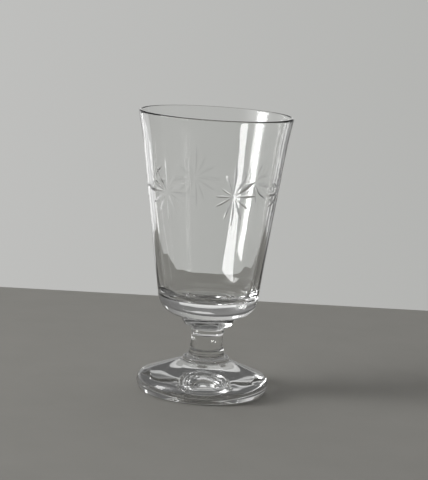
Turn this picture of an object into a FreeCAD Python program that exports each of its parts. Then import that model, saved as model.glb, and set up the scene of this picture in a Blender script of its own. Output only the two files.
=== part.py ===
# Footed whiskey glass: a flared bowl with wheel-cut stars on a short collared stem and a solid round foot.
# Millimetres, +Z up along the glass's axis, origin at the middle of the face that the foot rests on.
import FreeCAD, Part
import math
import os

# Foot.
foot_height = 15.3
foot_edge_r = 34.9             # where the top's slope would meet the edge's, before rounding
foot_edge_height = 7.0         # height of that corner
foot_edge_round = 4.8
foot_undercut = 3.2            # how far the edge draws in from that corner to the table
foot_rest_width = 8.0          # width of the ring that touches the table
foot_rest_round = 1.2
foot_hollow_rise = 1.9         # how far the middle of the underside stands off the table
pontil_r = 8.7                 # ground mark in the middle of the underside
pontil_depth = 0.6

# Stem, with the collar at its foot and the ring at its top. Each radius is built out from the stem's waist.
stem_height = 11.4
stem_waist_r = 7.9
stem_flare = 1.3               # how far the stem's foot stands out past its waist
stem_flare_height = 8.5
stem_flare_round = 24.0
foot_collar_height = 2.1
foot_collar_step = 2.5         # how far the foot collar stands out past the stem's foot
foot_collar_round = 0.9
ring_height = 4.9
ring_bead = 0.8                # how far the ring's bead stands out past the waist
ring_bead_height = 1.5         # height of the bead's middle above the ring's lower face
ring_neck = 0.3                # the same for the neck over the bead
ring_neck_height = 3.0
ring_lip = 1.4                 # and for the ring's top
ring_round = 1.0

# Upper collar.
upper_collar_height = 4.9
upper_collar_step = 2.6        # how far its lower edge stands out past the ring's top
upper_collar_flare = 2.7       # how far its top stands out past its lower edge
upper_collar_round = 0.9

# Bowl.
rim_r = 38.6
bowl_height = 101.4
lip_height = 10.0              # height of the flared lip, from the knee to the rim
lip_flare = 2.1                # how far the rim stands out past the knee
knee_round = 170.0
wall_taper = 12.6              # how far the wall draws in from the knee to the bowl's lower face
seat_margin = 0.4              # flat glass round the upper collar, before the base rounds up
base_thickness = 9.0
inner_base_round = 8.0
belly_height = 39.0            # height over the lower face where the inside bends, and the wall starts to thicken
belly_round = 400.0
wall_at_base = 4.2
wall_at_belly = 2.6
wall_at_knee = 2.0
wall_at_rim = 1.6
rim_round_share = 0.45         # rounding of the rim's edges, as a share of its wall

# Cut stars.
star_count = 6
star_margin = 10.2             # plain wall between the stars' tips and the knee
star_turn = 18.0               # degrees from the front to the first star
ray_count = 12
ray_long = 16.0                # the two upright rays
ray_short = 12.5               # the other rays
ray_gap = 0.7                  # plain glass left between a star's middle and the start of each ray
wheel_r = 45.0                 # radius of the cutting wheel
wheel_half_angle = 50.0        # degrees, half of the wheel's V edge
wheel_reach = 1.0              # how far each cutter reaches out past the wall

# Radii and heights where the pieces meet.
stem_foot_r = stem_waist_r + stem_flare
foot_collar_r = stem_foot_r + foot_collar_step
ring_top_r = stem_waist_r + ring_lip
collar_low_r = ring_top_r + upper_collar_step
collar_top_r = collar_low_r + upper_collar_flare
foot_collar_top = foot_height + foot_collar_height
stem_top = foot_collar_top + stem_height
ring_top = stem_top + ring_height
collar_top = ring_top + upper_collar_height

# The bowl's corners: where its wall meets the lower face, the flared lip and the rim.
rim_z = collar_top + bowl_height
knee_z = rim_z - lip_height
knee_r = rim_r - lip_flare
base_r = knee_r - wall_taper
wall_slope = math.atan2(wall_taper, knee_z - collar_top)
base_round = (base_r - collar_top_r - seat_margin) * math.tan((math.pi / 2 + wall_slope) / 2)
floor_z = collar_top + base_thickness
belly_z = collar_top + belly_height
star_z = knee_z - star_margin - ray_long - ray_gap


def rounded_outline(corners):
    """Close a chain of (radius, height, rounding) corners into a face in the XZ plane."""
    points = [FreeCAD.Vector(radius, 0, height) for radius, height, rounding in corners]
    edges = []
    leave = None
    for i, (radius, height, rounding) in enumerate(corners + corners[:1]):
        here = points[i % len(points)]
        start = finish = here
        if rounding:
            to_before = (points[i - 1] - here).normalize()
            to_after = (points[(i + 1) % len(points)] - here).normalize()
            half_corner = to_before.getAngle(to_after) / 2
            start = here + to_before * (rounding / math.tan(half_corner))
            finish = here + to_after * (rounding / math.tan(half_corner))
            inward = (to_before + to_after).normalize()
            middle = here + inward * (rounding / math.sin(half_corner) - rounding)
        if leave:
            edges.append(Part.LineSegment(leave, start).toShape())
        if rounding:
            edges.append(Part.Arc(start, middle, finish).toShape())
        leave = finish
    return Part.Face(Part.Wire(edges))


def turned(corners):
    """Turn an outline about the glass's axis into one solid."""
    return rounded_outline(corners).revolve(FreeCAD.Vector(0, 0, 0), FreeCAD.Vector(0, 0, 1), 360)


def make_foot():
    rest_outer_r = foot_edge_r - foot_undercut
    return turned([
        (0, foot_hollow_rise + pontil_depth, 0),
        (pontil_r, foot_hollow_rise, 0),
        (rest_outer_r - foot_rest_width, 0, 0),
        (rest_outer_r, 0, foot_rest_round),
        (foot_edge_r, foot_edge_height, foot_edge_round),
        (foot_collar_r + foot_collar_round, foot_height, 0),
        (0, foot_height, 0),
    ])


def make_foot_collar():
    return turned([
        (0, foot_height, 0),
        (foot_collar_r, foot_height, 0),
        (foot_collar_r, foot_collar_top, foot_collar_round),
        (0, foot_collar_top, 0),
    ])


def make_stem():
    return turned([
        (0, foot_collar_top, 0),
        (stem_foot_r, foot_collar_top, 0),
        (stem_waist_r, foot_collar_top + stem_flare_height, stem_flare_round),
        (stem_waist_r, stem_top, 0),
        (0, stem_top, 0),
    ])


def make_stem_ring():
    return turned([
        (0, stem_top, 0),
        (stem_waist_r, stem_top, 0),
        (stem_waist_r + ring_bead, stem_top + ring_bead_height, ring_round),
        (stem_waist_r + ring_neck, stem_top + ring_neck_height, ring_round),
        (ring_top_r, ring_top, 0),
        (0, ring_top, 0),
    ])


def make_upper_collar():
    return turned([
        (0, ring_top, 0),
        (collar_low_r, ring_top, upper_collar_round),
        (collar_top_r, collar_top, 0),
        (0, collar_top, 0),
    ])


def wall_r(height):
    """Outer radius of the bowl's straight wall at a height."""
    return knee_r - (knee_z - height) * math.tan(wall_slope)


def ray_cutter(azimuth, angle, length):
    """The edge of the cutting wheel, set into the wall so that its cut has the ray's length."""
    depth = length ** 2 / 8 * (1 / wheel_r + math.cos(angle) ** 2 / wall_r(star_z))
    middle = ray_gap + length / 2
    turn = azimuth + middle * math.cos(angle) / wall_r(star_z)
    height = star_z + middle * math.sin(angle)

    # Directions at the ray's middle: round the wall, out of it and up along it.
    radial = FreeCAD.Vector(math.sin(turn), -math.cos(turn), 0)
    side = FreeCAD.Vector(math.cos(turn), math.sin(turn), 0)
    axial = FreeCAD.Vector(0, 0, 1)
    outward = radial * math.cos(wall_slope) - axial * math.sin(wall_slope)
    upward = radial * math.sin(wall_slope) + axial * math.cos(wall_slope)
    along = side * math.cos(angle) + upward * math.sin(angle)
    axle = along.cross(outward)

    hub = radial * wall_r(height) + axial * height + outward * (wheel_r - depth)
    tip = hub + outward * wheel_r
    edge_depth = depth + length ** 2 / 8 / wheel_r + wheel_reach
    half_width = axle * edge_depth * math.tan(math.radians(wheel_half_angle))
    shoulder = tip - outward * edge_depth
    edge = Part.makePolygon([tip, shoulder + half_width, shoulder - half_width, tip])
    return Part.Face(edge).revolve(hub, axle, 360)


def make_bowl():
    rim_round = wall_at_rim * rim_round_share
    bowl = turned([
        (0, collar_top, 0),
        (base_r, collar_top, base_round),
        (knee_r, knee_z, knee_round),
        (rim_r, rim_z, rim_round),
        (rim_r - wall_at_rim, rim_z, rim_round),
        (knee_r - wall_at_knee, knee_z, knee_round),
        (wall_r(belly_z) - wall_at_belly, belly_z, belly_round),
        (wall_r(floor_z) - wall_at_base, floor_z, inner_base_round),
        (0, floor_z, 0),
    ])
    for star in range(star_count):
        azimuth = math.radians(star_turn + star * 360 / star_count)
        for ray in range(ray_count):
            angle = math.radians(ray * 360 / ray_count)
            upright = abs(math.cos(angle)) < math.sin(math.pi / ray_count)
            bowl = bowl.cut(ray_cutter(azimuth, angle, ray_long if upright else ray_short))
    return bowl.Solids[0]


pieces = {
    "foot": make_foot(),
    "foot_collar": make_foot_collar(),
    "stem": make_stem(),
    "stem_ring": make_stem_ring(),
    "upper_collar": make_upper_collar(),
    "bowl": make_bowl(),
}

os.makedirs("parts", exist_ok=True)
for name, shape in pieces.items():
    shape.exportStep("parts/" + name + ".step")
    box = shape.optimalBoundingBox(False)
    print(name, shape.isValid(), round(shape.Volume, 1), "mm3, from", round(box.ZMin, 2), "to", round(box.ZMax, 2))
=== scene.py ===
import math

import bpy
import numpy as np
from mathutils import Matrix, Vector
from mathutils.geometry import delaunay_2d_cdt


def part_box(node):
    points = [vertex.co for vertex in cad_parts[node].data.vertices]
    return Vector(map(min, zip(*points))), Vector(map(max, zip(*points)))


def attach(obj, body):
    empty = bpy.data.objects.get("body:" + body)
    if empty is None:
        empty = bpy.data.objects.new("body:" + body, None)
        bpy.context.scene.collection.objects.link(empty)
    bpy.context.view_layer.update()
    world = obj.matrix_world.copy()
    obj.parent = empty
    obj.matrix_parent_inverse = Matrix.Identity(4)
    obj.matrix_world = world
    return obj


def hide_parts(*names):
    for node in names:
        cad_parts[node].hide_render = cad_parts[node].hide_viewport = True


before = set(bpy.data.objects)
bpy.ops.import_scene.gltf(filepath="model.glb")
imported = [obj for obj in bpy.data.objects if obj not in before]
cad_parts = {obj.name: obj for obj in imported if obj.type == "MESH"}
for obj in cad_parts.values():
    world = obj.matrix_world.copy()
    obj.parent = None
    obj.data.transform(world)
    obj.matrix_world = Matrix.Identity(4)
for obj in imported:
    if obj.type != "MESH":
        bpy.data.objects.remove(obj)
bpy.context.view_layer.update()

mm = 0.001
scene = bpy.context.scene


# Wraps a socket, so that node maths reads as plain maths.
class Socket:
    def __init__(self, tree, out):
        self.tree, self.out = tree, out

    def math(self, operation, other=None, flip=False):
        pair = (other, self) if flip else (self, other)
        sockets = {i: value for i, value in enumerate(pair) if value is not None}
        return self.tree.node("ShaderNodeMath", {"operation": operation}, sockets)

    def __add__(self, other):
        return self.math("ADD", other)

    def __sub__(self, other):
        return self.math("SUBTRACT", other)

    def __rsub__(self, other):
        return self.math("SUBTRACT", other, flip=True)

    def __mul__(self, other):
        return self.math("MULTIPLY", other)

    def __gt__(self, other):
        return self.math("GREATER_THAN", other)

    __radd__ = __add__
    __rmul__ = __mul__


class Tree:
    def __init__(self, owner):
        owner.use_nodes = True
        self.nodes, self.links = owner.node_tree.nodes, owner.node_tree.links
        self.nodes.clear()

    # Settings go in first, because some of them change which sockets a node has.
    def node(self, kind, settings=None, sockets=None, out=0):
        new = self.nodes.new(kind)
        for name, value in (settings or {}).items():
            if name == "stops":
                ramp = new.color_ramp
                while len(ramp.elements) < len(value):
                    ramp.elements.new(0.5)
                for element, (position, colour) in zip(ramp.elements, value):
                    element.position, element.color = position, colour
            else:
                setattr(new, name, value)
        for name, value in (sockets or {}).items():
            if isinstance(value, Socket):
                self.links.new(value.out, new.inputs[name])
            else:
                new.inputs[name].default_value = value
        return Socket(self, new.outputs[out]) if new.outputs else None

    def mixColour(self, factor, first, second):
        return self.node("ShaderNodeMix", {"data_type": "RGBA"}, {0: factor, 6: first, 7: second}, out=2)


def rgb(r, g, b):
    return (r, g, b, 1.0)


# Made by hand: the axis wanders a little, and the rim is not quite level.
handShape = {
    "heights": [0, 11, 16, 34, 44, 66, 108, 141],     # mm up the glass
    "drift": [0, 0.3, 1.5, 1.5, 0.9, 0.5, 0.2, 0.0],  # mm to the right at those heights
    "rimDrop": 0.008,                                 # how far the rim falls to the right, per metre
    "level": 90, "sloping": 50,                       # mm that stay level, then mm the slope takes to grow
}


def handX(z):
    return np.interp(z / mm, handShape["heights"], handShape["drift"]) * mm


# Where a point of a turned surface really is: azimuth is measured from the front, towards the right.
def place(r, azimuth, z):
    x = r * np.sin(azimuth) + handX(z)
    share = np.clip((z / mm - handShape["level"]) / handShape["sloping"], 0, 1)
    return np.stack([x, -r * np.cos(azimuth), z - handShape["rimDrop"] * x * share ** 2], -1)


turning = {
    "columns": 240,     # facets round
    "arcStep": 5.0,     # degrees between points on an arc
    "run": 1.5 * mm,    # longest straight facet
}
joint, cut = 1, 2       # material numbers; 0 is the clear glass


# Corners are (radius, height, rounding). Gives the outline's points, which of them stay sharp, and the
# number of the corner that each stretch starts from. Joint discs are hidden, so they aren't divided.
def outlinePoints(corners, finishes):
    points, sharp, runs = [], [], []

    def add(point, run):
        if points and (point - points[-1]).length < 1e-7:
            return
        if points:
            runs.append(run)
        points.append(point)

    places = [Vector(corner[:2]) for corner in corners]
    for i, (here, (_, _, rounding)) in enumerate(zip(places, corners)):
        arc = [here]
        if rounding:
            back, ahead = (places[i - 1] - here).normalized(), (places[i + 1] - here).normalized()
            half = back.angle(ahead) / 2
            start = here + back * rounding / math.tan(half)
            finish = here + ahead * rounding / math.tan(half)
            centre = here + (back + ahead).normalized() * rounding / math.sin(half)
            turn = (start - centre).angle_signed(finish - centre)
            byAngle = abs(math.degrees(turn)) / turning["arcStep"]
            byLength = abs(rounding * turn) / turning["run"]
            steps = max(4, round(byAngle), round(byLength))
            arc = [centre + Matrix.Rotation(-turn * k / steps, 2) @ (start - centre)
                   for k in range(steps + 1)]
        if points:
            length = (arc[0] - points[-1]).length
            steps = 1 if finishes.get(i - 1) == joint else max(1, math.ceil(length / turning["run"]))
            first = points[-1].copy()
            for k in range(1, steps + 1):
                add(first.lerp(arc[0], k / steps), i - 1)
        else:
            add(arc[0], 0)
        if not rounding:
            sharp.append(len(points) - 1)
        for point in arc[1:]:
            add(point, i)
    return np.array([tuple(p) for p in points]), sharp, runs


# Unit normals of the rows from first to last, which are one smooth stretch.
def gridNormals(grid, outline, first, last):
    lengths = np.linalg.norm(np.diff(outline[first:last + 1], axis=0), axis=1)
    along = np.concatenate([[0], np.cumsum(lengths)])
    ahead = np.gradient(grid[first:last + 1], along, axis=0, edge_order=2 if last - first > 1 else 1)
    sideways = np.roll(grid, -1, 1)[first:last + 1] - np.roll(grid, 1, 1)[first:last + 1]
    normals = np.cross(sideways, ahead)
    length = np.linalg.norm(normals, axis=2, keepdims=True)
    onAxis = np.array([0, 0, -1.0 if outline[first][0] < outline[last][0] else 1.0])
    return np.where(length > 1e-12, normals / np.maximum(length, 1e-12), onAxis)


# A closed turned mesh. finishes gives the material number of the runs that aren't clear glass.
# patch, if there is one, takes the place of some rows and brings its own points and faces.
def turnedPiece(name, corners, finishes, materials, ripple=None, patch=None):
    outline, sharp, runs = outlinePoints(corners, finishes)
    count, columns = len(outline), turning["columns"]
    azimuth = np.arange(columns)[None, :] * 2 * math.pi / columns
    r, z = outline[:, :1] + 0 * azimuth, outline[:, 1:] + 0 * azimuth
    inner = (np.arange(count)[:, None] > outline[:, 1].argmax()) + 0 * azimuth
    grid = place(r + (ripple(azimuth, r, z, inner) if ripple else 0), azimuth + 0 * r, z)
    skipped, build = patch(outline) if patch else (range(0), None)
    vertices, rowStart = [], {}
    for k in range(count):
        if k not in skipped[1:]:
            rowStart[k] = len(vertices)
            vertices += [tuple(p) for p in (grid[k] if 0 < k < count - 1 else [grid[k].mean(0)])]

    def number(k, j):
        return rowStart[k] + (j % columns if 0 < k < count - 1 else 0)

    faces, normals, finish = [], [], []
    stretches = sorted({0, *sharp, count - 1})
    for first, last in zip(stretches, stretches[1:]):
        shade = gridNormals(grid, outline, first, last)
        for k in range(first, last):
            for j in range(0 if k in skipped else columns):
                around = [(k, j), (k, j + 1), (k + 1, j + 1), (k + 1, j)]
                if k == 0:
                    around = [(0, j), (1, j + 1), (1, j)]
                elif k == count - 2:
                    around = [(k, j), (k, j + 1), (k + 1, j)]
                faces.append([number(*corner) for corner in around])
                normals += [tuple(shade[a - first, b % columns]) for a, b in around]
                finish.append(finishes.get(runs[k], 0))
    if build:
        build(vertices, number, faces, normals, finish)
    mesh = bpy.data.meshes.new(name)
    mesh.from_pydata(vertices, [], faces)
    for material in materials:
        mesh.materials.append(material)
    mesh.polygons.foreach_set("material_index", finish)
    mesh.polygons.foreach_set("use_smooth", [True] * len(faces))
    mesh.normals_split_custom_set(normals)
    piece = bpy.data.objects.new(name, mesh)
    scene.collection.objects.link(piece)
    return piece


glassLook = {
    "tintA": rgb(0.967, 0.973, 0.966), "tintB": rgb(0.984, 0.986, 0.982),   # faint grey-green, uneven
    "tintScale": 22,
    "index": 1.51,
    "smudge": 0.02, "smudgeScale": 90, "smudgeFrom": 0.55,      # roughness where hands have been
    "clear": {"roughness": 0.0, "waveDepth": 0.02 * mm, "waveScale": 55, "through": 1.0},      # slow ripples
    "cut": {"roughness": 0.14, "waveDepth": 0.01 * mm, "waveScale": 1500, "through": 0.92},    # wheel marks
}


def finishMaterial(name, roughness, waveDepth, waveScale, through):
    material = bpy.data.materials.new(name)
    tree = Tree(material)
    place3d = tree.node("ShaderNodeTexCoord", out=3)
    cloud = tree.node("ShaderNodeTexNoise", {}, {
        "Vector": place3d, "Scale": glassLook["tintScale"], "Detail": 2})
    smear = tree.node("ShaderNodeTexNoise", {}, {
        "Vector": place3d, "Scale": glassLook["smudgeScale"], "Detail": 5, "Roughness": 0.7})
    waves = tree.node("ShaderNodeTexNoise", {}, {"Vector": place3d, "Scale": waveScale, "Detail": 1})
    bump = tree.node("ShaderNodeBump", {}, {"Strength": 1.0, "Distance": waveDepth, "Height": waves})
    tint = tree.mixColour(cloud, glassLook["tintA"], glassLook["tintB"])
    shader = tree.node("ShaderNodeBsdfPrincipled", {}, {
        "Base Color": tint,
        "Roughness": roughness + (smear > glassLook["smudgeFrom"]) * glassLook["smudge"],
        "IOR": glassLook["index"],
        "Transmission Weight": through,
        "Normal": bump,
    })
    tree.node("ShaderNodeOutputMaterial", {}, {"Surface": shader})
    return material


# Fused glass has nothing inside it, so a face where two pieces meet is not seen.
def jointMaterial():
    material = bpy.data.materials.new("fusedJoint")
    tree = Tree(material)
    shader = tree.node("ShaderNodeBsdfPrincipled", {}, {"Base Color": rgb(1, 1, 1), "Alpha": 0.0})
    tree.node("ShaderNodeOutputMaterial", {}, {"Surface": shader})
    return material


clearGlass = finishMaterial("clearGlass", **glassLook["clear"])
cutGlass = finishMaterial("cutGlass", **glassLook["cut"])
glassFinishes = [clearGlass, jointMaterial(), cutGlass]
print("glass materials made")


# Where the pieces meet: the discs at which they are fused take their heights and radii from here.
_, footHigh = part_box("foot")
_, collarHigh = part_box("foot_collar")
stemLow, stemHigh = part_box("stem")
ringLow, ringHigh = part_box("stem_ring")
upperLow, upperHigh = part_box("upper_collar")
bowlLow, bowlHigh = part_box("bowl")
weld = {"foot": 0.6 * mm, "stem": 0.8 * mm, "ring": 0.5 * mm, "bowl": 0.35 * mm}    # soft corners at joins

foot = {
    "edge": (34.9 * mm, 7.0 * mm, 4.8 * mm),   # corner of the edge before rounding, and the rounding
    "restOut": 31.7 * mm, "restOutRound": 1.2 * mm,
    "restIn": 23.7 * mm, "restInRound": 6 * mm,
    "hollow": 1.9 * mm,                        # depth under the foot
    "pontil": 8.7 * mm, "pontilDepth": 0.6 * mm, "pontilRound": 0.8 * mm,
    "shoulder": 0.9 * mm, "shoulderRound": 1.4 * mm,      # flat glass round the foot collar
}
footTop = footHigh.z
footDisc = collarHigh.x + weld["foot"]
footPiece = turnedPiece("glassFoot", [
    (0, foot["hollow"] + foot["pontilDepth"], 0),
    (foot["pontil"], foot["hollow"], foot["pontilRound"]),
    (foot["restIn"], 0, foot["restInRound"]),
    (foot["restOut"], 0, foot["restOutRound"]),
    foot["edge"],
    (collarHigh.x + foot["shoulder"], footTop, foot["shoulderRound"]),
    (footDisc, footTop, 0),
    (0, footTop, 0),
], {6: joint}, glassFinishes)

collar = {"round": 0.9 * mm}
stemDisc = stemHigh.x + weld["stem"]
collarPiece = turnedPiece("glassFootCollar", [
    (0, footTop, 0),
    (footDisc, footTop, 0),
    (collarHigh.x, footTop, weld["foot"]),
    (collarHigh.x, collarHigh.z, collar["round"]),
    (stemDisc, collarHigh.z, 0),
    (0, collarHigh.z, 0),
], {0: joint, 4: joint}, glassFinishes)

stem = {"waist": 7.9 * mm, "flareHeight": 8.5 * mm, "flareRound": 24 * mm}
stemPiece = turnedPiece("glassStem", [
    (0, stemLow.z, 0),
    (stemDisc, stemLow.z, 0),
    (stemHigh.x, stemLow.z, weld["stem"]),
    (stem["waist"], stemLow.z + stem["flareHeight"], stem["flareRound"]),
    (stem["waist"], stemHigh.z, 0),
    (0, stemHigh.z, 0),
], {0: joint, 4: joint}, glassFinishes)

ring = {"bead": (8.7 * mm, 1.5 * mm), "neck": (8.2 * mm, 3.0 * mm), "round": 1.0 * mm}    # radius and height
ringDisc = ringHigh.x + weld["ring"]
ringPiece = turnedPiece("glassStemRing", [
    (0, ringLow.z, 0),
    (stem["waist"], ringLow.z, 0),
    (ring["bead"][0], ringLow.z + ring["bead"][1], ring["round"]),
    (ring["neck"][0], ringLow.z + ring["neck"][1], ring["round"]),
    (ringHigh.x, ringHigh.z, weld["ring"]),
    (ringDisc, ringHigh.z, 0),
    (0, ringHigh.z, 0),
], {0: joint, 5: joint}, glassFinishes)

upper = {"low": 11.9 * mm, "round": 0.9 * mm}
upperDisc = upperHigh.x + weld["bowl"]
upperPiece = turnedPiece("glassUpperCollar", [
    (0, upperLow.z, 0),
    (ringDisc, upperLow.z, 0),
    (upper["low"], upperLow.z, upper["round"]),
    (upperHigh.x, upperHigh.z, weld["bowl"]),
    (upperDisc, upperHigh.z, 0),
    (0, upperHigh.z, 0),
], {0: joint, 4: joint}, glassFinishes)

bowl = {
    "base": 23.9 * mm, "baseRound": 10.2 * mm, "baseThick": 9.0 * mm, "innerRound": 8.0 * mm,
    "knee": 36.5 * mm, "lip": 10.0 * mm, "lipFlare": 2.1 * mm, "kneeRound": 170 * mm,
    "belly": 39 * mm, "bellyRound": 400 * mm,      # where the wall starts to thicken towards the floor
    "wallBase": 4.2 * mm, "wallBelly": 2.6 * mm, "wallKnee": 2.0 * mm, "wallRim": 1.6 * mm,
    "rimShare": 0.45,                              # rounding of the rim, as a share of its thickness
    "oval": 0.1 * mm, "ovalTurn": 0.9, "wave": 0.014 * mm, "lobes": [3, 5, 9, 14, 21], "seed": 11,
    "twist": 9, "innerTwist": 14,                  # radians per metre up the glass
    "fade": 8 * mm, "steady": 22 * mm,             # waves die out near the rim and floor, and inside a radius
}
kneeZ = bowlHigh.z - bowl["lip"]
floorZ = bowlLow.z + bowl["baseThick"]
rimR = bowl["knee"] + bowl["lipFlare"]
bellyZ = bowlLow.z + bowl["belly"]
wallSlope = (bowl["knee"] - bowl["base"]) / (kneeZ - bowlLow.z)
rimRound = bowl["rimShare"] * bowl["wallRim"]


def wallR(z):
    return bowl["base"] + wallSlope * (z - bowlLow.z)


phases = np.random.RandomState(bowl["seed"]).uniform(0, 2 * math.pi, (2, len(bowl["lobes"])))


# Hand-blown walls are never quite round. The inside has waves of its own, which die out at the rim and floor.
def bowlRipple(azimuth, r, z, inner):
    belowRim, aboveFloor = (np.clip(gap / bowl["fade"], 0, 1) for gap in (bowlHigh.z - z, z - floorZ))
    innerShare = inner * belowRim * aboveFloor
    total = bowl["oval"] * np.cos(2 * azimuth - bowl["ovalTurn"])
    for lobes, outerPhase, innerPhase in zip(bowl["lobes"], *phases):
        outerWave = np.cos(lobes * azimuth + outerPhase + bowl["twist"] * z)
        innerWave = np.cos(lobes * azimuth + innerPhase - bowl["innerTwist"] * z)
        total = total + bowl["wave"] * outerWave
        total = total + innerShare * bowl["wave"] * innerWave
    return total * np.clip(r / bowl["steady"], 0, 1) ** 2


# Each ray of a star is a V-shaped groove, cut with a wheel.
star = {
    "height": 103.1 * mm, "count": 6, "first": 18,  # centres, and degrees from the front to the first
    "low": 84 * mm, "high": 123 * mm,               # the band of the wall that holds the stars
    "gap": 0.6 * mm,                                # uncut glass left between the centre and each ray
    "half": 0.046, "wrap": 0.5,                     # half width per length, and how much wider a level ray is
    "tilt": 15, "frontTilt": 26, "uprightTilt": 40, "tiltSpread": 3,   # slope of a ray's two sides, degrees
    "inward": 1.3, "outward": 0.9,                  # a ray narrows slowly towards the centre
    "stations": 12,                                 # points along a ray
    "clear": 0.35 * mm, "endClear": 0.03,           # the wall has no points nearer to it than this
    "seed": 5, "turnSpread": 3, "lengthSpread": 0.08,
    "front": [(2, 12.8), (35, 13.3), (62, 12.6), (90, 17), (113, 11.6), (148, 8),      # degrees and mm
              (180, 9), (210, 10), (249, 12), (270, 15), (294, 13.2), (323, 10)],
    "long": 16, "short": 12.5, "rays": 12,
}
chance = np.random.RandomState(star["seed"])


def starRays(index):
    if index == 0:
        return star["front"]
    return [(360 / star["rays"] * k + chance.uniform(-1, 1) * star["turnSpread"],
             star["long" if k % 3 == 0 else "short"] * (1 + chance.uniform(-1, 1) * star["lengthSpread"]))
            for k in range(star["rays"])]


# Width along a ray, as a share of the widest.
def raySection(t):
    t = min(max(t, 0), 1)
    peak = star["inward"] / (star["inward"] + star["outward"])
    return (t / peak) ** star["inward"] * ((1 - t) / (1 - peak)) ** star["outward"]


# Gives the rows of the outer wall that the stars take over, and a function that fills them. Each star is
# laid out as a flat sheet of triangles that follow its grooves, and the sheet is then bent round the wall.
def starPatch(outline):
    outside = outline[:outline[:, 1].argmax()]
    rows = [k for k in range(3, len(outside)) if star["low"] <= outside[k][1] <= star["high"]]
    first, last = rows[0], rows[-1]
    columns = turning["columns"]
    step = 2 * math.pi / columns
    radius = np.interp(star["height"], outside[first:last + 1, 1], outside[first:last + 1, 0])

    def wallPoint(azimuth, z):
        r = np.interp(z, outside[first - 2:last + 3, 1], outside[first - 2:last + 3, 0])
        return place(r + bowlRipple(azimuth, r, z, 0), azimuth, z)

    def wallNormal(azimuth, z):
        right = wallPoint(azimuth + step / 2, z) - wallPoint(azimuth - step / 2, z)
        up = wallPoint(azimuth, z + mm) - wallPoint(azimuth, z - mm)
        normal = np.cross(right, up)
        return normal / np.linalg.norm(normal, axis=-1, keepdims=True)

    def build(vertices, number, faces, normals, finish):
        sideNumbers = {}
        for index in range(star["count"]):
            middle = round((star["first"] + index * 360 / star["count"]) / 360 * columns)
            reach = columns // star["count"] // 2
            flat, depth, known, edges = [], [], [], []
            kind = []       # 0 wall, 1 left side, 2 valley, 3 right side

            def add(u, v, d=0, what=0, who=None):
                flat.append(Vector((u, v)))
                depth.append(d)
                kind.append(what)
                known.append(who)
                return len(flat) - 1

            grooves = []
            for degrees, length in starRays(index):
                length *= mm
                a = math.radians(degrees)
                along, across = Vector((math.cos(a), math.sin(a))), Vector((-math.sin(a), math.cos(a)))
                half = star["half"] * length * (1 + star["wrap"] * along.x ** 2)
                frontTilt = np.interp(along.y ** 2, (0, 1), (star["frontTilt"], star["uprightTilt"]))
                tilt = star["tilt"] if index else frontTilt
                tilt += chance.uniform(-1, 1) * star["tiltSpread"]
                slope = math.tan(math.radians(tilt))
                grooves.append((along, across, length - star["gap"], half, slope))
            for along, across, length, widest, slope in grooves:
                begin = along * star["gap"]
                tips = [add(*begin), add(*(begin + along * length))]
                lines = [[tips[0]], [tips[0]], [tips[0]]]
                for n in range(1, star["stations"] + 1):
                    t = n / (star["stations"] + 1)
                    half = widest * raySection(t)
                    d = half * slope
                    here = begin + along * length * t
                    left, right = here + across * half, here - across * half
                    trio = [add(*left, 0, 1), add(*here, d, 2), add(*right, 0, 3)]
                    edges += [(trio[0], trio[1]), (trio[1], trio[2])]
                    for line, point in zip(lines, trio):
                        line.append(point)
                for line in lines:
                    line.append(tips[1])
                    edges += list(zip(line, line[1:]))
            for k in range(first, last + 1):
                for j in range(-reach, reach + 1):
                    u, v = j * step * radius, outline[k][1] - star["height"]
                    if k in (first, last) or abs(j) == reach:
                        add(u, v, 0, 0, (k, (middle + j) % columns))
                        continue
                    free = True
                    for along, across, length, widest, slope in grooves:
                        t = (u * along.x + v * along.y - star["gap"]) / length
                        half = widest * raySection(t)
                        beside = abs(u * across.x + v * across.y) < half + star["clear"]
                        if beside and -star["endClear"] < t < 1 + star["endClear"]:
                            free = False
                    if free:
                        add(u, v)

            points, _, triangles, origins, _, _ = delaunay_2d_cdt(flat, edges, [], 0, 1e-9)
            source = [origin[0] for origin in origins]
            azimuth = np.array([middle * step + flat[i].x / radius for i in source])
            z = np.array([flat[i].y + star["height"] for i in source])
            smooth = wallNormal(azimuth, z)
            solid = wallPoint(azimuth, z) - smooth * np.array([depth[i] for i in source])[:, None]
            numbers = []
            for i, point in zip(source, solid):
                who = known[i]
                if who and who[0] in (first, last):
                    numbers.append(number(*who))
                elif who and who in sideNumbers:
                    numbers.append(sideNumbers[who])
                else:
                    numbers.append(len(vertices))
                    vertices.append(tuple(point))
                    if who:
                        sideNumbers[who] = numbers[-1]

            sides = {}
            corners = []
            for triangle in triangles:
                p, q, w = (points[i] for i in triangle)
                if (q - p).cross(w - p) < 0:
                    triangle = triangle[::-1]
                kinds = [kind[source[i]] for i in triangle]
                side = 0 if 2 not in kinds else 1 if 1 in kinds else 3
                corners.append((triangle, side))
                if side:
                    p, q, w = (solid[i] for i in triangle)
                    for i in triangle:
                        sides[i, side] = sides.get((i, side), 0) + np.cross(q - p, w - p)
            for triangle, side in corners:
                faces.append([numbers[i] for i in triangle])
                finish.append(cut if side else 0)
                for i in triangle:
                    normal = sides[i, side] / np.linalg.norm(sides[i, side]) if side else smooth[i]
                    normals.append(tuple(normal))

    return range(first, last), build


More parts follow.
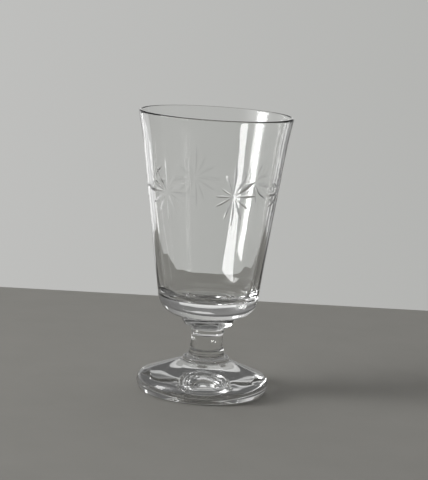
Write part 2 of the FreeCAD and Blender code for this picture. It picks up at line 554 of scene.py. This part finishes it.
bowlPiece = turnedPiece("glassBowl", [
    (0, bowlLow.z, 0),
    (upperDisc, bowlLow.z, 0),
    (bowl["base"], bowlLow.z, bowl["baseRound"]),
    (bowl["knee"], kneeZ, bowl["kneeRound"]),
    (rimR, bowlHigh.z, rimRound),
    (rimR - bowl["wallRim"], bowlHigh.z, rimRound),
    (bowl["knee"] - bowl["wallKnee"], kneeZ, bowl["kneeRound"]),
    (wallR(bellyZ) - bowl["wallBelly"], bellyZ, bowl["bellyRound"]),
    (wallR(floorZ) - bowl["wallBase"], floorZ, bowl["innerRound"]),
    (0, floorZ, 0),
], {0: joint}, glassFinishes, bowlRipple, starPatch)
print("glass pieces turned")

for piece, node in [(footPiece, "foot"), (collarPiece, "foot_collar"), (stemPiece, "stem"),
                    (ringPiece, "stem_ring"), (upperPiece, "upper_collar"), (bowlPiece, "bowl")]:
    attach(piece, "root")
    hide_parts(node)

# A pale, plain table top, with its far edge a little way behind the glass.
table = {
    "left": -1.6, "right": 1.6, "front": -1.4, "back": 0.232, "gap": 0.2 * mm,
    "dark": rgb(0.36, 0.351, 0.324), "pale": rgb(0.4, 0.39, 0.362), "roughness": 0.85, "grainScale": 40,
}
corners = [(table[x], table[y], -table["gap"]) for x, y in
           [("left", "front"), ("right", "front"), ("right", "back"), ("left", "back")]]
topMesh = bpy.data.meshes.new("tableTop")
topMesh.from_pydata(corners, [], [(0, 1, 2, 3)])
tableTop = bpy.data.objects.new("tableTop", topMesh)
scene.collection.objects.link(tableTop)
plain = bpy.data.materials.new("paleTable")
tree = Tree(plain)
place3d = tree.node("ShaderNodeTexCoord", out=3)
grain = tree.node("ShaderNodeTexNoise", {}, {"Vector": place3d, "Scale": table["grainScale"], "Detail": 6})
topColour = tree.mixColour(grain, table["dark"], table["pale"])
shader = tree.node("ShaderNodeBsdfPrincipled", {}, {"Base Color": topColour, "Roughness": table["roughness"]})
tree.node("ShaderNodeOutputMaterial", {}, {"Surface": shader})
topMesh.materials.append(plain)

# The surroundings: a pale wall, lighter to the left, and dark above and behind the viewer.
room = {
    "sides": [(0.0, rgb(0.8, 0.8, 0.8)), (0.2, rgb(0.66, 0.66, 0.66)), (0.37, rgb(0.55, 0.55, 0.54)),
              (0.62, rgb(0.43, 0.434, 0.42)), (0.75, rgb(0.3, 0.3, 0.3)), (0.95, rgb(0.12, 0.12, 0.12))],
    "dark": rgb(0.12, 0.12, 0.12),
    "wallFade": 1.6, "wallShare": 0.8,         # how fast the wall gives way to the dark
    "ceilingFade": 7, "ceilingFrom": 0.1,      # how fast the ceiling takes over, and the height it starts at
    "lightFrom": Vector((-0.82, -0.25, 0.5)).normalized(), "glow": 40.0, "glowTightness": 26,
}
world = bpy.data.worlds.new("paleRoom")
scene.world = world
tree = Tree(world)
direction = tree.node("ShaderNodeTexCoord", out=0)


def towards(way):
    return tree.node("ShaderNodeVectorMath", {"operation": "DOT_PRODUCT"}, {0: direction, 1: way}, out=1)


wallColour = tree.node("ShaderNodeValToRGB", {"stops": room["sides"]}, {0: towards((1, 0, 0)) * 0.5 + 0.5})
wallPart = towards((0, 1, 0)) * room["wallFade"] + room["wallShare"]
ceilingPart = (towards((0, 0, 1)) - room["ceilingFrom"]) * room["ceilingFade"]
roomColour = tree.mixColour(ceilingPart, tree.mixColour(wallPart, room["dark"], wallColour), room["dark"])
glow = towards(room["lightFrom"]).math("MAXIMUM", 0).math("POWER", room["glowTightness"]) * room["glow"] + 1
background = tree.node("ShaderNodeBackground", {}, {"Color": roomColour, "Strength": glow})
tree.node("ShaderNodeOutputWorld", {}, {"Surface": background})


def areaLight(name, spot, turn, width, tall, watts):
    data = bpy.data.lights.new(name, "AREA")
    data.shape, data.size, data.size_y, data.energy = "RECTANGLE", width, tall, watts
    light = bpy.data.objects.new(name, data)
    light.location, light.rotation_euler = spot, turn
    light.visible_camera = False
    scene.collection.objects.link(light)
    return light


lightAim = Vector((0, 0, 70 * mm))      # half-way up the glass


# Stands at an azimuth from the front, towards the right, at a distance and height, and faces the glass.
def softLight(name, azimuth, distance, height, width, tall, watts):
    turn = math.radians(azimuth)
    spot = Vector((distance * math.sin(turn), -distance * math.cos(turn), height))
    toGlass = lightAim - spot
    areaLight(name, spot, toGlass.to_track_quat("-Z", "Y").to_euler(), width, tall, watts)


# A bright strip lying on the table at the front right, which the front of the bowl mirrors as a tall band.
def floorStrip(name, near, far, width, watts):
    line = Vector(far) - Vector(near)
    middle = (*((Vector(near) + Vector(far)) / 2), 1 * mm)
    turn = (math.pi, 0, math.atan2(line.y, line.x) + math.pi / 2)
    areaLight(name, middle, turn, width, line.length, watts).visible_transmission = False    # only mirrored


softLight("overhead", azimuth=180, distance=0.35, height=1.4, width=1.4, tall=1.0, watts=3)
softLight("leftBackStrip", azimuth=-155, distance=0.95, height=-0.06, width=0.1, tall=0.22, watts=0.09)
softLight("rightBackStrip", azimuth=136, distance=0.75, height=-0.03, width=0.05, tall=0.3, watts=0.07)
softLight("backBar", azimuth=180, distance=1.2, height=0.24, width=1.1, tall=0.1, watts=0.15)
softLight("leftWindow", azimuth=-80, distance=0.9, height=0.33, width=0.3, tall=0.4, watts=3)
floorStrip("frontStripWide", near=(0.096, -0.128), far=(0.255, -0.28), width=0.062, watts=0.5)
floorStrip("frontStripThin", near=(0.17, -0.096), far=(0.36, -0.14), width=0.036, watts=0.24)

view = {
    "distance": 838.6 * mm, "height": 216.3 * mm, "lens": 127.8,
    "tilt": 9.46, "turn": 0.15, "roll": 3.23,      # degrees down, to the right, and of the picture clockwise
}
tilt, turn, roll = (math.radians(view[key]) for key in ("tilt", "turn", "roll"))
cameraData = bpy.data.cameras.new("camera")
cameraData.lens = view["lens"]
cameraData.clip_start = 0.01
camera = bpy.data.objects.new("camera", cameraData)
level = Matrix.Rotation(-turn, 3, "Z") @ Matrix.Rotation(math.pi / 2 - tilt, 3, "X")
aim = (level @ Matrix.Rotation(roll, 3, "Z")).to_4x4()
camera.matrix_world = Matrix.Translation((0, -view["distance"], view["height"])) @ aim
scene.collection.objects.link(camera)
scene.camera = camera

scene.view_settings.view_transform = "Standard"
scene.cycles.max_bounces = 24
scene.cycles.transmission_bounces = 24
scene.cycles.glossy_bounces = 12
scene.cycles.transparent_max_bounces = 32
print("camera, lights and table placed")
